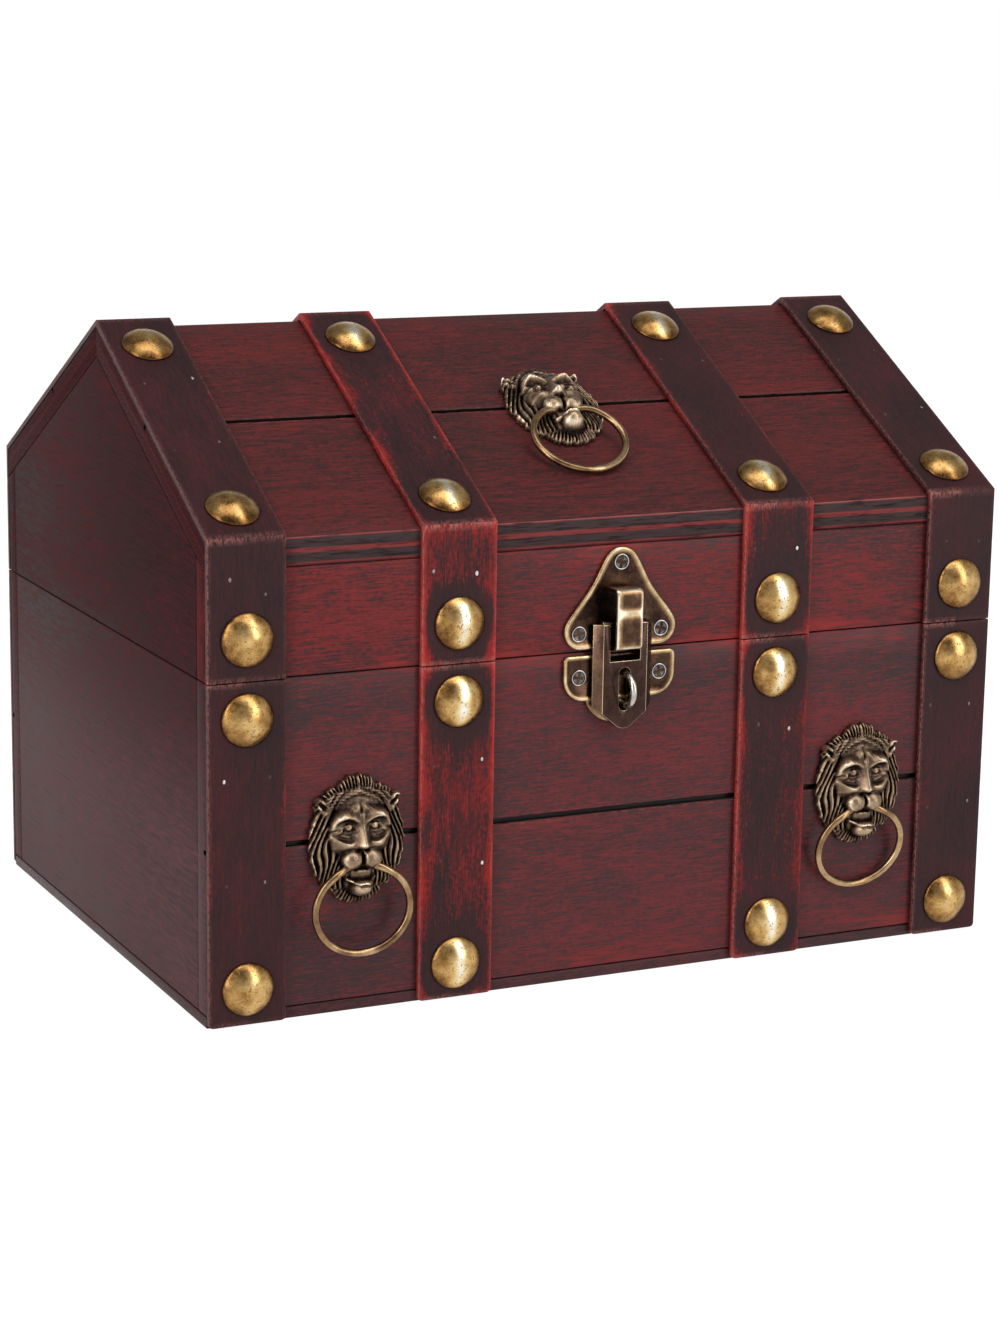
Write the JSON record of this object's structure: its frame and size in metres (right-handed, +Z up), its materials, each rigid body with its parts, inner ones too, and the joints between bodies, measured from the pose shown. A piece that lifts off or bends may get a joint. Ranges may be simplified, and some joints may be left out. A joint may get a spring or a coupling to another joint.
{
  "type": "treasure chest",
  "caption": "Small stained plywood treasure chest with a gabled hinged lid, nailed wooden straps, a swinging hasp and staple, and lion-mask ring pulls.",
  "frame": {"origin": "centre of the underside of the bottom board", "axes": "+X to the right seen from the front, -Y out of the front with the hasp, +Z up"},
  "size_m": [0.229, 0.1829, 0.1702],
  "materials": {
    "board_stain": "dark cherry stain, satin",
    "end_stain": "dark brown-purple stain, satin",
    "strap_stain": "dark cherry stain, satin, worn at the edges",
    "stud_brass": "brass plate with a brown patina",
    "mask_bronze": "antique cast finish, dark in the hollows",
    "ring_brass": "antique brass wire",
    "hasp_brass": "antique brass plate",
    "hinge_brass": "antique brass plate"
  },
  "bodies": {
    "base": {"base_bottom": "board_stain", "base_front_board": "board_stain", "base_back_board": "board_stain", "base_left_end": "end_stain", "base_right_end": "end_stain", "base_front_strap_1": "strap_stain", "base_back_strap_1": "strap_stain", "stud_1_base_low": "stud_brass", "stud_1_base_high": "stud_brass", "base_front_strap_2": "strap_stain", "base_back_strap_2": "strap_stain", "stud_2_base_low": "stud_brass", "stud_2_base_high": "stud_brass", "base_front_strap_3": "strap_stain", "base_back_strap_3": "strap_stain", "stud_3_base_low": "stud_brass", "stud_3_base_high": "stud_brass", "base_front_strap_4": "strap_stain", "base_back_strap_4": "strap_stain", "stud_4_base_low": "stud_brass", "stud_4_base_high": "stud_brass", "lion_left": "mask_bronze", "lion_right": "mask_bronze", "hasp_base_plate": "hasp_brass", "hasp_staple": "hasp_brass", "hinge_left_base_leaf": "hinge_brass", "hinge_left_pin": "hinge_brass", "hinge_right_base_leaf": "hinge_brass", "hinge_right_pin": "hinge_brass"},
    "lid": {"lid_front_board": "board_stain", "lid_back_board": "board_stain", "lid_left_gable": "end_stain", "lid_right_gable": "end_stain", "lid_front_slope": "board_stain", "lid_back_slope": "board_stain", "lid_strap_1": "strap_stain", "stud_1_lid_front": "stud_brass", "stud_1_roof_low": "stud_brass", "stud_1_roof_high": "stud_brass", "lid_strap_2": "strap_stain", "stud_2_lid_front": "stud_brass", "stud_2_roof_low": "stud_brass", "stud_2_roof_high": "stud_brass", "lid_strap_3": "strap_stain", "stud_3_lid_front": "stud_brass", "stud_3_roof_low": "stud_brass", "stud_3_roof_high": "stud_brass", "lid_strap_4": "strap_stain", "stud_4_lid_front": "stud_brass", "stud_4_roof_low": "stud_brass", "stud_4_roof_high": "stud_brass", "lion_lid": "mask_bronze", "hasp_top_plate": "hasp_brass", "hinge_left_lid_leaf": "hinge_brass", "hinge_right_lid_leaf": "hinge_brass"},
    "hasp_flap": {"hasp_flap": "hasp_brass"},
    "ring_left": {"ring_left": "ring_brass"},
    "ring_right": {"ring_right": "ring_brass"},
    "ring_lid": {"ring_lid": "ring_brass"}
  },
  "joints": [
    {"name": "lid_hinge", "type": "hinge", "parent": "base", "child": "lid", "pos_m": [0, 0.0842, 0.08905], "axis": [-1, 0, 0], "range_deg": [0, 105]},
    {"name": "hasp_flap_swing", "type": "hinge", "parent": "lid", "child": "hasp_flap", "pos_m": [0, -0.0844, 0.0962], "axis": [-1, 0, 0], "range_deg": [0, 150]},
    {"name": "ring_left_swing", "type": "hinge", "parent": "base", "child": "ring_left", "pos_m": [-0.0744, -0.0873, 0.0395], "axis": [-1, 0, 0], "range_deg": [-10, 120]},
    {"name": "ring_right_swing", "type": "hinge", "parent": "base", "child": "ring_right", "pos_m": [0.0744, -0.0873, 0.0395], "axis": [-1, 0, 0], "range_deg": [0, 120]},
    {"name": "ring_lid_swing", "type": "hinge", "parent": "lid", "child": "ring_lid", "pos_m": [0, -0.04869, 0.14858], "axis": [-1, 0, 0], "range_deg": [0, 120]}
  ]
}
